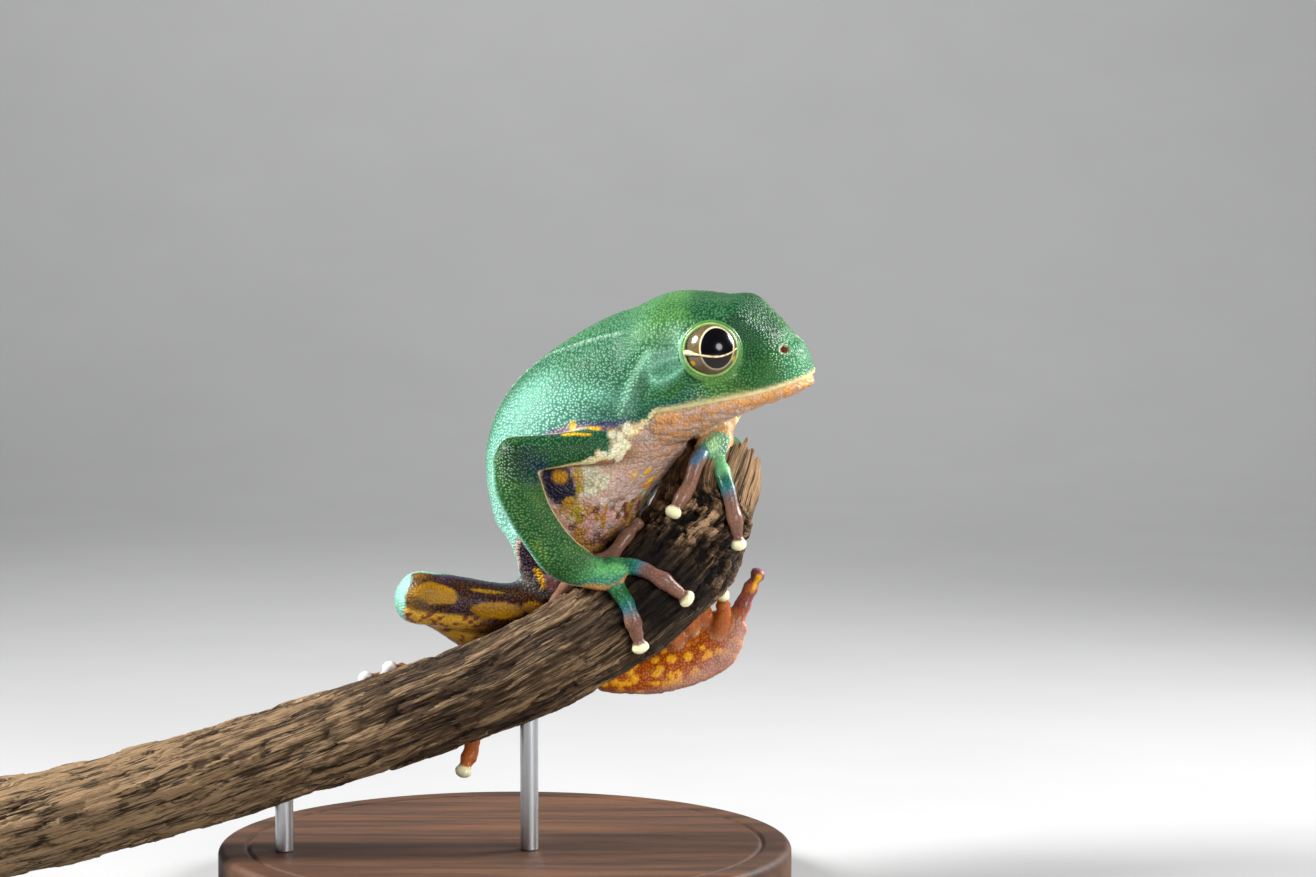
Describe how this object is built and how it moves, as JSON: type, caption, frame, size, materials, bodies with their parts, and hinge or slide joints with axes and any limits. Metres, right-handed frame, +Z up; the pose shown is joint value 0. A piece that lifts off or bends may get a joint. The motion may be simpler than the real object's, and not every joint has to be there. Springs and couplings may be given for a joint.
{
  "type": "white-lined leaf frog on a branch",
  "caption": "Life-size green leaf frog with granular skin, gripping the torn end of a bent branch on a round display base.",
  "frame": {"origin": "centre of the stand base's flat underside, on the surface it stands on", "axes": "+Z up out of the base; the branch rises from -X towards +X, and the frog sits on its +Y side and looks towards +X"},
  "size_m": [0.1311, 0.09, 0.0934],
  "materials": {
    "green_skin": "satin, granular",
    "throat_skin": "satin, granular",
    "thigh_skin": "satin, smooth",
    "sole_skin": "satin, granular",
    "eye": "wet gloss",
    "bark": "rough bark, torn at one end",
    "turned_wood": "dark oiled",
    "steel": "brushed"
  },
  "bodies": {
    "root": {"head": "green_skin", "lower_jaw": "throat_skin", "eye_right": "eye", "eye_left": "eye", "torso": "green_skin", "upper_arm_right": "green_skin", "upper_arm_left": "green_skin", "forearm_right": "green_skin", "forearm_left": "green_skin", "hand_right": "green_skin", "hand_left": "green_skin", "thigh_right": "thigh_skin", "thigh_left": "thigh_skin", "shank_right": "thigh_skin", "shank_left": "thigh_skin", "foot_right": "sole_skin", "foot_left": "sole_skin", "perch_branch": "bark", "stand_base": "turned_wood", "stand_rod_near": "steel", "stand_rod_far": "steel"}
  },
  "joints": []
}
